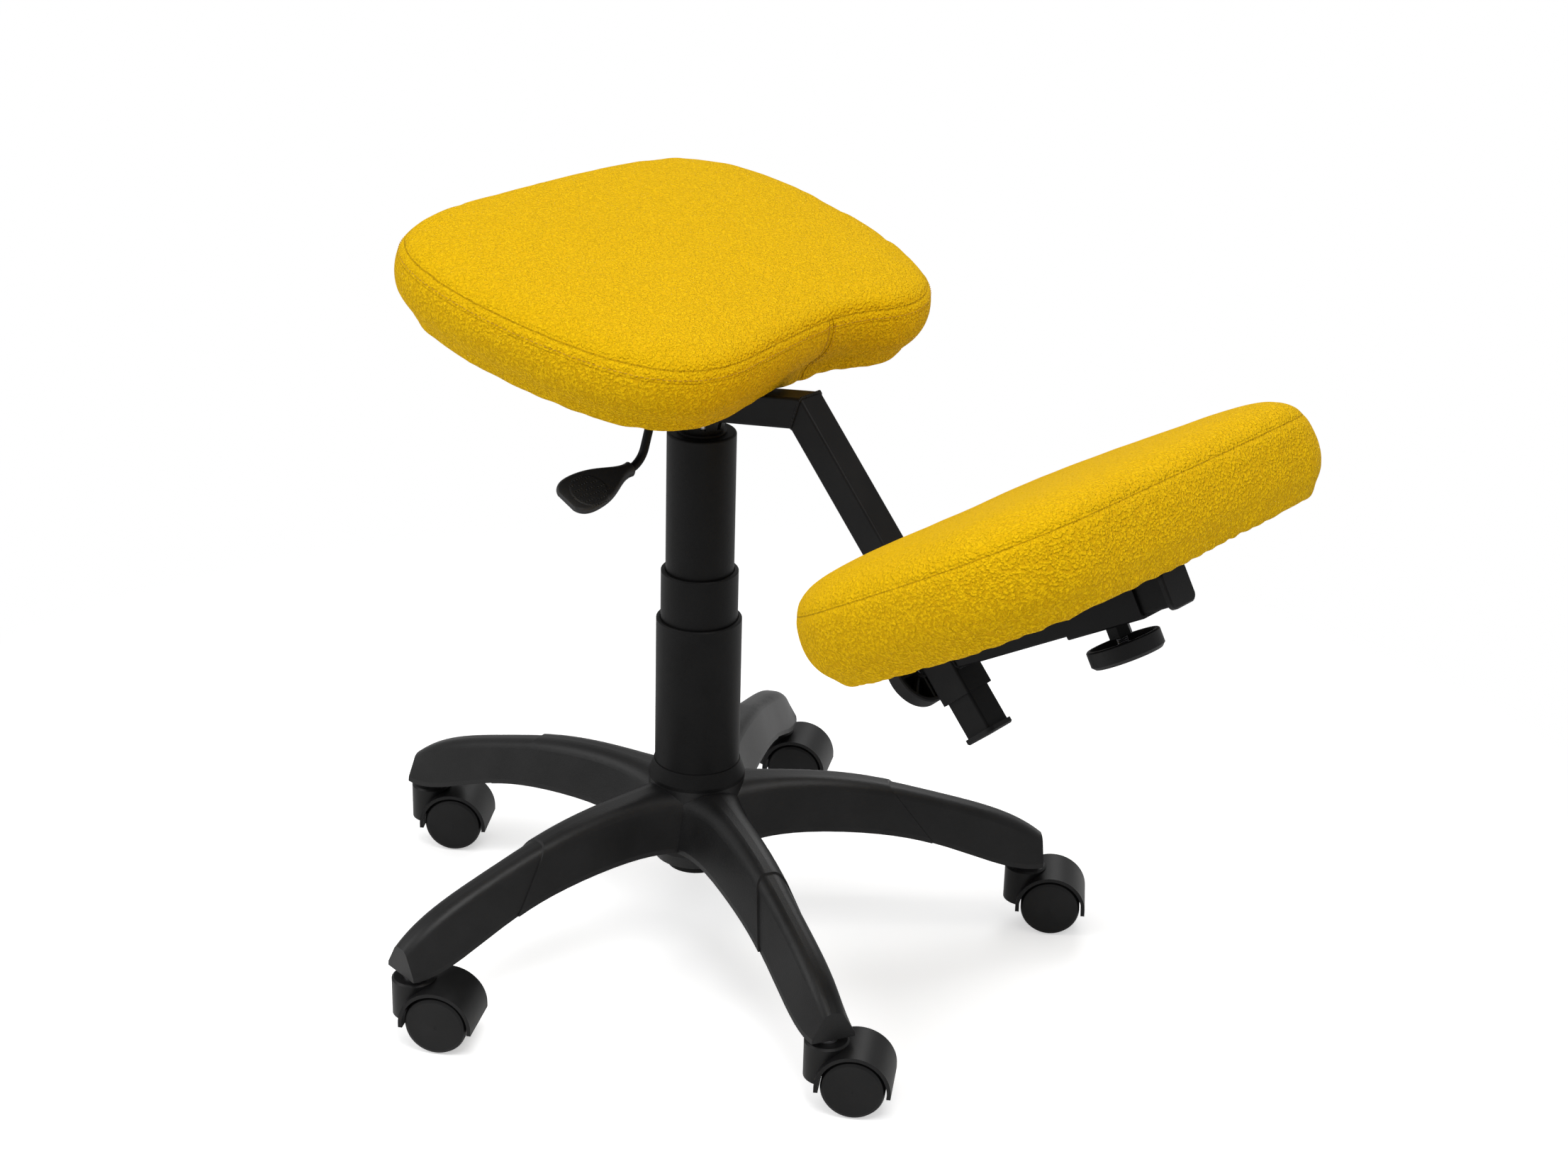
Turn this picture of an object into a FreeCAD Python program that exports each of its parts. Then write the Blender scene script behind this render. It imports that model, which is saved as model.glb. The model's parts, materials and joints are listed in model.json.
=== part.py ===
import FreeCAD, Part
import math
import os
import Sketcher

# Gas-lift swivel kneeling stool, millimetres.
# Z is up, the floor is Z = 0, the swivel axis is X = Y = 0 and the knee pad lies towards -Y.

SIZES = [
    # five-star base
    ("stem_circle", 283.0), ("arm_first", 26.6), ("arm_count", 5),
    ("hub_radius", 40.0), ("hub_top", 147.0), ("hub_bottom", 74.0),
    ("arm_step", 1.3), ("step_high", "=stem_circle * 0.56"), ("step_low", "=stem_circle * 0.70"),
    ("arm_wall", 6.0), ("arm_hollow", 14.0), ("arm_rib", 3.0), ("crest_share", 0.8), ("arm_foot", 4.0),
    # arm stations, outwards from the hub: reach, top, underside, width below, width of the crest
    ("root_reach", "=hub_radius - 11"), ("root_top", 143.0), ("root_under", 98.0), ("root_width", 86.0),
    ("root_crest", 58.0),
    ("neck_reach", "=stem_circle * 0.215"), ("neck_top", 144.0), ("neck_under", 102.0),
    ("neck_width", 59.0),
    ("neck_crest", 36.0),
    ("inner_reach", "=stem_circle * 0.36"), ("inner_top", 143.0), ("inner_under", 103.0),
    ("inner_width", 50.0), ("inner_crest", 29.0),
    ("mid_reach", "=stem_circle * 0.558"), ("mid_top", 135.0), ("mid_under", 98.0), ("mid_width", 46.0),
    ("mid_crest", 26.0),
    ("outer_reach", "=stem_circle * 0.784"), ("outer_top", 118.0), ("outer_under", 80.0),
    ("outer_width", 43.0),
    ("outer_crest", 24.0),
    ("end_reach", "=stem_circle - 5"), ("end_top", 96.0), ("end_under", 61.5), ("end_width", 40.0),
    ("end_crest", 23.0),
    ("tip_reach", "=stem_circle + 12"), ("tip_top", 84.0), ("tip_under", 61.0), ("tip_width", 36.0),
    ("tip_crest", 20.0),
    # castors
    ("wheel_radius", 25.0), ("castor_trail", 23.0), ("hood_gap", 1.5), ("hood_wall", 3.0),
    ("hood_width", 46.0),
    ("hood_skirt", 21.0), ("boss_radius", 17.5), ("castor_top", 56.0), ("web_width", 9.0),
    ("wheel_gap", 0.8),
    ("wheel_width", 17.0), ("wheel_dome", 1.8), ("axle_radius", 3.0), ("axle_half", 15.0),
    ("stem_radius", 5.5),
    ("stem_depth", 10.5), ("stem_flange", 8.5), ("flange_rise", 2.0), ("stem_reach", 82.0),
    ("running_fit", 0.05),
    ("turn_one", -62.0), ("turn_two", -56.0), ("turn_three", -61.0), ("turn_four", -58.0),
    ("turn_five", -56.0),
    # gas lift
    ("tube_radius", 25.0), ("tube_bore", 22.6), ("tube_foot", 64.0), ("tube_head", 282.0),
    ("tube_floor", 4.0),
    ("taper_drop", 1.0), ("taper_length", 66.0), ("bush_length", 62.0), ("bush_lip", 2.0),
    ("column_radius", 14.0), ("column_foot", 200.0), ("column_neck", 463.0), ("column_head", 498.0),
    ("column_taper", 0.9), ("column_bore", 11.0), ("column_floor", 5.0), ("rod_radius", 5.0),
    ("rod_head", 306.0),
    ("piston_height", 12.0), ("bearing_radius", 14.0), ("bearing_height", 6.0), ("flange_height", 3.0),
    ("clip_height", 1.2), ("clip_radius", 9.0), ("safe_gap", 0.35), ("button_radius", 4.0),
    ("button_rise", 6.5),
    ("button_depth", 12.0),
    # column covers
    ("cover_play", 0.6), ("low_radius", 35.1), ("low_foot", 148.0), ("low_head", 289.2),
    ("middle_radius", 31.6), ("middle_foot", 189.0), ("middle_head", 331.2),
    ("top_radius", 27.9), ("top_foot", 291.0), ("top_head", 449.4), ("top_shelf", 2.4),
    ("cover_round", 2.0),
    ("collar_radius", 40.0), ("collar_rise", 14.5), ("claw_radius", 17.0), ("claw_flare", 19.4),
    ("claw_rise", 12.0),
    ("claw_slot", 4.0), ("claw_count", 8),
    # seat bracket and cranked frame
    ("socket_radius", 20.0), ("socket_foot", 464.0), ("socket_head", 500.0),
    ("bracket_half", 30.0), ("bracket_length", 96.0), ("bracket_steel", 3.0), ("plate_width", 150.0),
    ("plate_length", 172.0), ("plate_lift", 526.0), ("seat_tilt", 11.0),
    ("tube_side", 25.0), ("tube_wall", 2.0), ("tube_corner", 2.2), ("upper_rise", 10.0),
    ("crank_fall", 48.1),
    ("crank_y", -105.3), ("crank_z", 492.0), ("crank_length", 279.0),
    ("cap_side", 30.5), ("cap_thick", 4.5), ("cap_corner", 6.0), ("cap_plug", 14.0), ("plug_play", 0.05),
    # lever
    ("lever_radius", 3.5), ("lever_height", 509.0), ("lever_inner", 6.0), ("lever_bend", 37.0),
    ("bend_small", 14.0),
    ("bend_large", 20.0), ("lever_fall", 71.0), ("lever_drop", 50.0), ("lever_turn", 65.0),
    ("lever_tail", 12.0),
    ("paddle_length", 70.0), ("paddle_width", 36.0), ("paddle_neck", 11.5), ("paddle_twist", 28.0),
    ("paddle_thick", 8.0),
    # knee carriage on the diagonal tube
    ("sleeve_side", 30.0), ("sleeve_play", 0.35), ("sleeve_length", 70.0), ("knee_rest", 30.0),
    ("bar_rise", 30.0), ("bar_level", 164.5), ("bar_reach", 605.0),
    ("nut_across", 16.0), ("nut_height", 9.0), ("stud_radius", 4.0), ("wheel_rim", 28.0),
    ("rim_height", 14.0),
    ("rim_wall", 3.2), ("rim_floor", 3.0), ("rim_hub", 7.0), ("rim_ribs", 8), ("rim_stand", 2.5),
    ("rib_thick", 2.0),
    # pad carriage on the bar
    ("end_room", 24.5), ("pad_rest", "=bar_reach - end_room - sleeve_length"),
    ("pad_centre", "=pad_rest + 19"), ("pad_plate", 3.0), ("pad_plate_width", 110.0),
    ("pad_plate_length", 74.0), ("board_thick", 10.0), ("board_inset", 27.0),
    ("pad_half_length", 210.0), ("pad_half_width", 131.0), ("pad_corner", 92.0), ("pad_seam", 57.0),
    ("pad_crown", 22.0), ("pad_bulge", 3.0), ("pad_tuck", 22.0), ("pad_base", 1.0),
    # seat cushion
    ("seat_half_width", 203.0), ("seat_front", 114.0), ("seat_back", 197.0), ("seat_notch", 15.0),
    ("notch_deepening", 0.6),
    ("seat_seam", 52.0), ("seat_crown", 15.0), ("seat_bulge", 4.0), ("seat_tuck", 22.0),
    ("seat_board", 12.0),
    ("seat_base", 1.0), ("seat_board_inset", 27.0),
]

doc = FreeCAD.newDocument("kneeling_stool")
sheet = doc.addObject("Spreadsheet::Sheet", "Dims")
for row, (alias, amount) in enumerate(SIZES, 1):
    sheet.set("A%d" % row, alias)
    sheet.set("B%d" % row, str(amount))
    sheet.setAlias("B%d" % row, alias)
doc.recompute()

NODES = []
X_AXIS = FreeCAD.Vector(1, 0, 0)
Y_AXIS = FreeCAD.Vector(0, 1, 0)
Z_AXIS = FreeCAD.Vector(0, 0, 1)


class Dim:
    # A length that keeps its number and the sheet expression it came from together.
    def __init__(self, number, text):
        self.number = float(number)
        self.text = text

    def join(self, other, sign, number):
        return Dim(number, "(%s %s %s)" % (self.text, sign, other.text))

    def __add__(self, other):
        other = dim(other)
        return self.join(other, "+", self.number + other.number)

    def __sub__(self, other):
        other = dim(other)
        return self.join(other, "-", self.number - other.number)

    def __mul__(self, other):
        other = dim(other)
        return self.join(other, "*", self.number * other.number)

    def __truediv__(self, other):
        other = dim(other)
        return self.join(other, "/", self.number / other.number)

    def __radd__(self, other):
        return dim(other) + self

    def __rsub__(self, other):
        return dim(other) - self

    def __rmul__(self, other):
        return dim(other) * self

    def __neg__(self):
        return dim(0) - self


def dim(amount):
    return amount if isinstance(amount, Dim) else Dim(amount, "%.6f" % amount)


def size(alias):
    return Dim(sheet.get(alias), "Dims." + alias)


def num(alias):
    return float(sheet.get(alias))


def sine(angle):
    return Dim(math.sin(math.radians(angle.number)), "sin(%s * 1deg)" % angle.text)


def cosine(angle):
    return Dim(math.cos(math.radians(angle.number)), "cos(%s * 1deg)" % angle.text)


def body(label, keep=True):
    made = doc.addObject("PartDesign::Body", label)
    made.Label = label
    if keep:
        NODES.append(made)
    return made


def origin_part(owner, role):
    return [part for part in owner.Origin.OriginFeatures if part.Role == role][0]


def bind(target, path, amount):
    amount = dim(amount)
    if amount.text.startswith("Dims") or "(" in amount.text:
        target.setExpression(path, amount.text)


def new_sketch(owner, role, lift):
    made = owner.newObject("Sketcher::SketchObject", owner.Label + "_sketch")
    made.AttachmentSupport = (origin_part(owner, role), [""])
    made.MapMode = "FlatFace"
    lift = dim(lift)
    made.AttachmentOffset = FreeCAD.Placement(FreeCAD.Vector(0, 0, lift.number), FreeCAD.Rotation())
    bind(made, "AttachmentOffset.Base.z", lift)
    return made


def pin_point(sketch, geometry, end, x, y):
    for kind, amount in (("DistanceX", dim(x)), ("DistanceY", dim(y))):
        index = sketch.addConstraint(Sketcher.Constraint(kind, -1, 1, geometry, end, amount.number))
        bind(sketch, "Constraints[%d]" % index, amount)


def outline(owner, role, corners, lift=0, closed=True):
    # A corner is (x, y), or (x, y, cx, cy, r) where an arc about (cx, cy) leads to the next corner.
    sketch = new_sketch(owner, role, lift)
    count = len(corners)
    last = count if closed else count - 1
    ends = []
    for i in range(last):
        here = corners[i]
        there = corners[(i + 1) % count]
        a = FreeCAD.Vector(dim(here[0]).number, dim(here[1]).number, 0)
        b = FreeCAD.Vector(dim(there[0]).number, dim(there[1]).number, 0)
        if len(here) == 2:
            index = sketch.addGeometry(Part.LineSegment(a, b), False)
            ends.append((index, 1, 2))
            continue
        centre = FreeCAD.Vector(dim(here[2]).number, dim(here[3]).number, 0)
        radius = dim(here[4])
        first = math.atan2(a.y - centre.y, a.x - centre.x)
        second = math.atan2(b.y - centre.y, b.x - centre.x)
        turn = (second - first) % (2 * math.pi)
        circle = Part.Circle(centre, Z_AXIS, radius.number)
        if turn <= math.pi + 1e-6:
            index = sketch.addGeometry(Part.ArcOfCircle(circle, first, first + turn), False)
            ends.append((index, 1, 2))
        else:
            index = sketch.addGeometry(Part.ArcOfCircle(circle, second, second + 2 * math.pi - turn), False)
            ends.append((index, 2, 1))
        spot = sketch.addConstraint(Sketcher.Constraint("Radius", index, radius.number))
        bind(sketch, "Constraints[%d]" % spot, radius)
    for i in range(last):
        index, start, finish = ends[i]
        pin_point(sketch, index, start, corners[i][0], corners[i][1])
        if closed or i + 1 < last:
            following = ends[(i + 1) % last]
            sketch.addConstraint(Sketcher.Constraint("Coincident", index, finish, following[0], following[1]))
        else:
            pin_point(sketch, index, finish, corners[i + 1][0], corners[i + 1][1])
    return sketch


def rings(owner, role, circles, lift=0):
    sketch = new_sketch(owner, role, lift)
    for cx, cy, radius in circles:
        cx, cy, radius = dim(cx), dim(cy), dim(radius)
        centre = FreeCAD.Vector(cx.number, cy.number, 0)
        index = sketch.addGeometry(Part.Circle(centre, Z_AXIS, radius.number), False)
        pin_point(sketch, index, 3, cx, cy)
        spot = sketch.addConstraint(Sketcher.Constraint("Radius", index, radius.number))
        bind(sketch, "Constraints[%d]" % spot, radius)
    return sketch


def block(x_half, low, high):
    return [(-x_half, low), (x_half, low), (x_half, high), (-x_half, high)]


def feature(owner, kind, sketch, length=None, both=False, back=False, through=False):
    made = owner.newObject("PartDesign::" + kind, owner.Label + "_" + kind.lower())
    made.Profile = sketch
    if through:
        made.Type = "ThroughAll"
    else:
        made.Length = dim(length).number
        bind(made, "Length", length)
    if both:
        made.SideType = "Symmetric"
    made.Reversed = back
    sketch.Visibility = False
    doc.recompute()
    return made


def turned(owner, corners, kind="Revolution", axis="V_Axis", role="XZ_Plane"):
    sketch = outline(owner, role, corners)
    made = owner.newObject("PartDesign::" + kind, owner.Label + "_turned")
    made.Profile = sketch
    made.ReferenceAxis = (sketch, [axis])
    made.Angle = 360
    sketch.Visibility = False
    doc.recompute()
    return made


def around(owner, originals, count):
    made = owner.newObject("PartDesign::PolarPattern", owner.Label + "_pattern")
    made.Originals = originals
    made.Axis = (origin_part(owner, "Z_Axis"), [""])
    made.Angle = 360
    made.Occurrences = int(dim(count).number)
    bind(made, "Occurrences", count)
    owner.Tip = made
    doc.recompute()
    return made


def lofted(owner, sketches, kind="AdditiveLoft", ruled=False):
    made = owner.newObject("PartDesign::" + kind, owner.Label + "_loft")
    made.Profile = sketches[0]
    made.Sections = sketches[1:]
    made.Ruled = ruled
    for sketch in sketches:
        sketch.Visibility = False
    doc.recompute()
    return made


def rounded(owner, base, radius, chosen, kind="Fillet"):
    names = ["Edge%d" % (i + 1) for i, edge in enumerate(base.Shape.Edges) if chosen(edge)]
    made = owner.newObject("PartDesign::" + kind, owner.Label + "_" + kind.lower())
    made.Base = (base, names)
    prop = "Radius" if kind == "Fillet" else "Size"
    setattr(made, prop, dim(radius).number)
    bind(made, prop, radius)
    base.Visibility = False
    doc.recompute()
    return made


def runs_along(direction):
    def test(edge):
        if edge.Curve.TypeId != "Part::GeomLine":
            return False
        return abs(abs(edge.Curve.Direction.dot(direction)) - 1) < 1e-6
    return test


def place(target, base, rotation=None):
    target.Placement = FreeCAD.Placement(base, rotation or FreeCAD.Rotation())


# Five-star base: turned hub, lofted arms, hollow undersides with a rib, stem sockets.
STATIONS = ("root", "neck", "inner", "mid", "outer", "end", "tip")


def arm_section(owner, name, proud=0):
    # Drafted sides, wide below and narrow at the crest, with eased crest edges.
    half = size(name + "_width") / 2 + proud
    crest = size(name + "_crest") / 2 + proud
    top = size(name + "_top") + proud
    low = size(name + "_under")
    curve = crest * size("crest_share")
    mid = crest - curve
    level = top - curve
    lean = 20.0
    side = mid + curve * math.cos(math.radians(lean))
    shoulder = level + curve * math.sin(math.radians(lean))
    foot = low + size("arm_foot")
    corners = [(half, low), (half - 0.5, foot), (side, shoulder, mid, level, curve), (mid, top),
               (-mid, top, -mid, level, curve), (-side, shoulder), (0.5 - half, foot), (-half, low)]
    return outline(owner, "YZ_Plane", corners, lift=size(name + "_reach"))


base = body("star_base")
bore = size("tube_radius")
hub = size("hub_radius")
taper_top = size("tube_foot") + size("taper_length")
turned(base, [
    (bore - size("taper_drop") * (size("hub_bottom") - size("tube_foot")) * -1 / size("taper_length")
     - size("taper_drop"), size("hub_bottom")),
    (hub - 5, size("hub_bottom")), (hub, size("hub_bottom") + 12), (hub, size("hub_top")),
    (bore, size("hub_top")), (bore, taper_top),
])
raised = lofted(base, [arm_section(base, name, size("arm_step")) for name in STATIONS])
beyond = size("tip_reach") + 20
trim = feature(base, "Pocket", outline(base, "XZ_Plane", [
    (size("step_low"), size("tip_under") - 20), (beyond, size("tip_under") - 20),
    (beyond, size("root_top") + 20), (size("step_high") - 10, size("root_top") + 20),
    (size("step_high"), size("mid_top") + 4),
    (size("step_low"), size("mid_under") - 8),
]), size("root_width") * 1.5, both=True)
arm = lofted(base, [arm_section(base, name) for name in STATIONS])
around(base, [raised, trim, arm], size("arm_count"))
wall = size("arm_wall")
hollow = [
    (size("hub_radius") + 18, size("root_under") - 6), (size("end_reach") - 24, size("end_under") - 12),
    (size("end_reach") - 24, size("end_top") - wall + 1), (size("outer_reach"), size("outer_top") - wall),
    (size("mid_reach"), size("mid_top") - wall), (size("inner_reach"), size("inner_top") - wall - 1),
    (size("hub_radius") + 18, size("inner_top") - wall - 3),
]
cavity = feature(base, "Pocket", outline(base, "XZ_Plane", hollow), size("arm_hollow"), both=True)
around(base, [cavity], size("arm_count"))
rib_shape = [
    (size("hub_radius") + 16, size("inner_under") + 4), (size("mid_reach"), size("mid_under") + 6),
    (size("end_reach") - 22, size("end_under") + 10), (size("end_reach") - 22, size("end_top") - wall + 3),
    (size("outer_reach"), size("outer_top") - wall + 1.5), (size("mid_reach"), size("mid_top") - wall + 1.5),
    (size("inner_reach"), size("inner_top") - wall + 0.5),
    (size("hub_radius") + 16, size("inner_top") - wall - 1.5),
]
rib = feature(base, "Pad", outline(base, "XZ_Plane", rib_shape), size("arm_rib"), both=True)
around(base, [rib], size("arm_count"))
socket_head = size("stem_reach") + 0.8
socket = feature(base, "Pocket", rings(base, "XY_Plane", [
    (size("stem_circle"), 0, size("stem_radius") + size("running_fit"))], lift=socket_head),
    socket_head - size("end_under") + 12)
around(base, [socket], size("arm_count"))
place(base, FreeCAD.Vector(), FreeCAD.Rotation(Z_AXIS, num("arm_first")))


# Castors: housing with hood, web and boss, steel stem and axle, two domed wheels.
def castor(index, arm_angle, turn):
    trail = size("castor_trail")
    centre = size("wheel_radius")
    inside = size("wheel_radius") + size("hood_gap")
    outside = inside + size("hood_wall")
    skirt = size("hood_skirt")
    name = "castor_%d_" % index
    housing = body(name + "housing")
    feature(housing, "Pad", outline(housing, "XZ_Plane", [
        (trail - outside, skirt), (trail + outside, skirt),
        (trail + outside, centre, trail, centre, outside), (trail, centre + outside, trail, centre, outside),
        (trail - outside, centre),
    ]), size("hood_width"), both=True)
    boss_low = skirt + 3
    feature(housing, "Pad", rings(housing, "XY_Plane", [(0, 0, size("boss_radius"))], lift=boss_low),
            size("castor_top") - boss_low)
    feature(housing, "Pocket", rings(housing, "XZ_Plane", [(trail, centre, inside)]),
            size("hood_width") * 2, both=True)
    web = inside + 0.8
    low = centre - 9
    feature(housing, "Pad", outline(housing, "XZ_Plane", [
        (trail - 8, low), (trail + 8, low), (trail + web, centre, trail, centre, web),
        (trail, centre + web, trail, centre, web), (trail - web, centre),
    ]), size("web_width"), both=True)
    feature(housing, "Pocket", rings(housing, "XZ_Plane", [(trail, centre, size("axle_radius"))]),
            size("hood_width") * 2, both=True)
    top = feature(housing, "Pocket", rings(housing, "XY_Plane", [(0, 0, size("stem_radius"))],
                                           lift=size("castor_top")), size("stem_depth"))
    boss = num("boss_radius")
    level = num("castor_top")

    def rim(edge):
        middle = edge.BoundBox
        circle = edge.Curve.TypeId == "Part::GeomCircle"
        return circle and abs(edge.Curve.Radius - boss) < 0.01 and abs(middle.ZMax - level) < 0.01

    rounded(housing, top, 1.5, rim, "Chamfer")
    stem = body(name + "stem")
    r = size("stem_radius")
    foot = size("castor_top") - size("stem_depth")
    deck = size("castor_top") + size("flange_rise")
    turned(stem, [(0, foot), (r, foot), (r, size("castor_top")), (size("stem_flange"), size("castor_top")),
                  (size("stem_flange"), deck), (r, deck), (r, size("stem_reach") - 1),
                  (r - 1, size("stem_reach")), (0, size("stem_reach"))])
    axle = body(name + "axle")
    feature(axle, "Pad", rings(axle, "XZ_Plane", [(trail, centre, size("axle_radius"))]),
            size("axle_half") * 2, both=True)
    made = [housing, stem, axle]
    inner = size("web_width") / 2 + size("wheel_gap")
    outer = inner + size("wheel_width")
    big = size("wheel_radius")
    hole = size("axle_radius") + size("running_fit")
    for side, sign in (("left", 1), ("right", -1)):
        wheel = body(name + "wheel_" + side)
        deep = size("axle_half") + 0.6
        face = [(sign * inner, hole), (sign * inner, big - 1.6), (sign * (inner + 1.6), big),
                (sign * (outer - 3.4), big), (sign * (outer - 1), big - 1.2), (sign * outer, big - 3.4),
                (sign * (outer + size("wheel_dome")), 0), (sign * deep, 0), (sign * deep, hole)]
        turned(wheel, face, axis="H_Axis", role="YZ_Plane")
        made.append(wheel)
    stem_spot = FreeCAD.Rotation(Z_AXIS, arm_angle).multVec(FreeCAD.Vector(num("stem_circle"), 0, 0))
    spin = FreeCAD.Rotation(Z_AXIS, turn)
    for item in made[:3]:
        place(item, stem_spot, spin)
    hub_spot = stem_spot + spin.multVec(FreeCAD.Vector(num("castor_trail"), 0, num("wheel_radius")))
    for item in made[3:]:
        place(item, hub_spot, spin)


TURNS = ("turn_one", "turn_two", "turn_three", "turn_four", "turn_five")
for k, alias in enumerate(TURNS):
    castor(k + 1, num("arm_first") + 72.0 * k, num(alias))

# Gas lift: tapered outer tube, guide bush, thrust bearing, piston rod, clip, cylinder, release button.
outer = body("gas_outer_tube")
foot = size("tube_foot")
head = size("tube_head")
turned(outer, [
    (size("rod_radius") + size("running_fit"), foot), (bore - size("taper_drop"), foot), (bore, taper_top),
    (bore, head), (size("tube_bore"), head), (size("tube_bore"), foot + size("tube_floor")),
    (size("rod_radius") + size("running_fit"), foot + size("tube_floor")),
])
bush = body("guide_bush")
slide = size("column_radius") + size("running_fit")
turned(bush, [
    (slide, head - size("bush_length")), (size("tube_bore"), head - size("bush_length")),
    (size("tube_bore"), head),
    (bore, head), (bore, head + size("bush_lip")), (slide, head + size("bush_lip")),
])
bearing = body("thrust_bearing")
deck = foot + size("tube_floor")
pin = size("rod_radius") + size("running_fit")
race = size("bearing_height") / 3
turned(bearing, [
    (pin, deck), (size("bearing_radius"), deck), (size("bearing_radius"), deck + race),
    (size("bearing_radius") - 1.5, deck + race), (size("bearing_radius") - 1.5, deck + race * 2),
    (size("bearing_radius"), deck + race * 2), (size("bearing_radius"), deck + race * 3),
    (pin, deck + race * 3),
])
rod = body("piston_rod")
step = deck + size("bearing_height") + size("safe_gap")
r = size("rod_radius")
piston = size("column_bore") - size("running_fit")
clip_top = foot - size("safe_gap")
turned(rod, [
    (0, clip_top - size("clip_height") - 2), (r, clip_top - size("clip_height") - 2),
    (r, clip_top - size("clip_height")), (r - 1, clip_top - size("clip_height")), (r - 1, clip_top),
    (r, clip_top),
    (r, step), (size("bearing_radius") - 4, step), (size("bearing_radius") - 4, step + size("flange_height")),
    (r, step + size("flange_height")), (r, size("rod_head") - size("piston_height")),
    (piston, size("rod_head") - size("piston_height")), (piston, size("rod_head")), (0, size("rod_head")),
])
clip = body("rod_clip")
turned(clip, [(r - 1, clip_top - size("clip_height")), (size("clip_radius"), clip_top - size("clip_height")),
              (size("clip_radius"), clip_top), (r - 1, clip_top)])
cylinder = body("gas_cylinder")
c = size("column_radius")
tip = c - size("column_taper")
low = size("column_foot")
high = size("column_head")
button_hole = size("button_radius") + size("running_fit")
turned(cylinder, [
    (r + size("running_fit"), low), (c, low), (c, size("column_neck")), (tip, high), (button_hole, high),
    (button_hole, high - size("button_depth") - 6), (size("column_bore"), high - size("button_depth") - 16),
    (size("column_bore"), low + size("column_floor")), (r + size("running_fit"), low + size("column_floor")),
])
button = body("release_button")
b_r = size("button_radius")
turned(button, [(0, high - size("button_depth")), (b_r, high - size("button_depth")),
                (b_r, high + size("button_rise") - 1), (b_r - 1, high + size("button_rise")),
                (0, high + size("button_rise"))])


# Column covers: lower and middle tubes, top tube with its shelf, collar ring and clawed hub.
def cover(label, radius, inner, low_end, high_end, shelf=None):
    made = body(label)
    soft = size("cover_round")
    if shelf is None:
        corners = [(inner, low_end), (radius, low_end), (radius, high_end - soft / 2),
                   (radius - soft / 2, high_end), (inner, high_end)]
    else:
        hole = size("column_radius") + 0.4
        corners = [(inner, low_end), (radius, low_end),
                   (radius, high_end - soft, radius - soft, high_end - soft, soft), (radius - soft, high_end),
                   (hole, high_end), (hole, high_end - shelf), (inner, high_end - shelf)]
    turned(made, corners)


play = size("cover_play")
cover("lower_sleeve", size("low_radius"), size("middle_radius") + play, size("low_foot"), size("low_head"))
cover("middle_sleeve", size("middle_radius"), size("top_radius") + play, size("middle_foot"),
      size("middle_head"))
cover("top_sleeve", size("top_radius"), size("tube_radius") + play, size("top_foot"), size("top_head"),
      size("top_shelf"))
collar = body("sleeve_collar")
turned(collar, [
    (size("tube_radius") + 0.5, size("hub_top")), (size("collar_radius"), size("hub_top")),
    (size("collar_radius"), size("hub_top") + 3),
    (size("low_radius") + 0.8, size("hub_top") + size("collar_rise")),
    (size("low_radius"), size("hub_top") + size("collar_rise")), (size("low_radius"), size("low_foot")),
    (size("tube_radius") + 0.5, size("low_foot")),
])
claws = body("sleeve_hub")
shelf = size("top_head")
turned(claws, [
    (slide, shelf), (size("claw_radius") + 3, shelf), (size("claw_radius") + 3, shelf + 1.6),
    (size("claw_radius"), shelf + 1.6), (size("claw_flare"), shelf + size("claw_rise")),
    (size("claw_flare") - 2, shelf + size("claw_rise")), (slide, shelf + 4),
])
slot = feature(claws, "Pocket", outline(claws, "YZ_Plane", [
    (-size("claw_slot") / 2, shelf + 5), (size("claw_slot") / 2, shelf + 5),
    (size("claw_slot") / 2, shelf + size("claw_rise") + 2),
    (-size("claw_slot") / 2, shelf + size("claw_rise") + 2),
], lift=size("claw_flare") + 2), size("claw_flare") - size("column_radius") + 1.5)
around(claws, [slot], size("claw_count"))

# Seat bracket: taper socket, folded channel with a tilted plate on top.
holder = body("taper_socket")
span = size("column_head") - size("column_neck")
at_head = c - size("column_taper") * (size("socket_head") - size("column_neck")) / span
at_foot = c - size("column_taper") * (size("socket_foot") - size("column_neck")) / span
turned(holder, [
    (at_foot, size("socket_foot")), (size("socket_radius"), size("socket_foot")),
    (size("socket_radius"), size("socket_head")), (at_head, size("socket_head")),
])
bracket = body("seat_bracket")
steel = size("bracket_steel")
half = size("bracket_half")
lean = num("seat_tilt")
channel_top = size("plate_lift") + size("bracket_length") / 2 * sine(size("seat_tilt")) + 2
feature(bracket, "Pad", outline(bracket, "XZ_Plane", [
    (-half, size("socket_head") - steel), (half, size("socket_head") - steel), (half, channel_top),
    (half - steel, channel_top), (half - steel, size("socket_head")), (steel - half, size("socket_head")),
    (steel - half, channel_top), (-half, channel_top),
]), size("bracket_length"), both=True)
reach = size("plate_length") / 2
slope = sine(size("seat_tilt")) / cosine(size("seat_tilt"))
plate_low = size("plate_lift") - steel
feature(bracket, "Pocket", outline(bracket, "YZ_Plane", [
    (-reach, size("plate_lift") - reach * slope - steel / 2),
    (reach, size("plate_lift") + reach * slope - steel / 2),
    (reach, size("plate_lift") + reach * slope + 60), (-reach, size("plate_lift") + 60),
]), size("bracket_half") * 3, both=True)
feature(bracket, "Pad", outline(bracket, "YZ_Plane", [
    (-reach, plate_low - reach * slope), (reach, plate_low + reach * slope),
    (reach, size("plate_lift") + reach * slope), (-reach, size("plate_lift") - reach * slope),
]), size("plate_width"), both=True)
feature(bracket, "Pocket", rings(bracket, "XY_Plane", [(0, 0, size("socket_radius"))],
                                 lift=size("socket_head")), steel)
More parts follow.
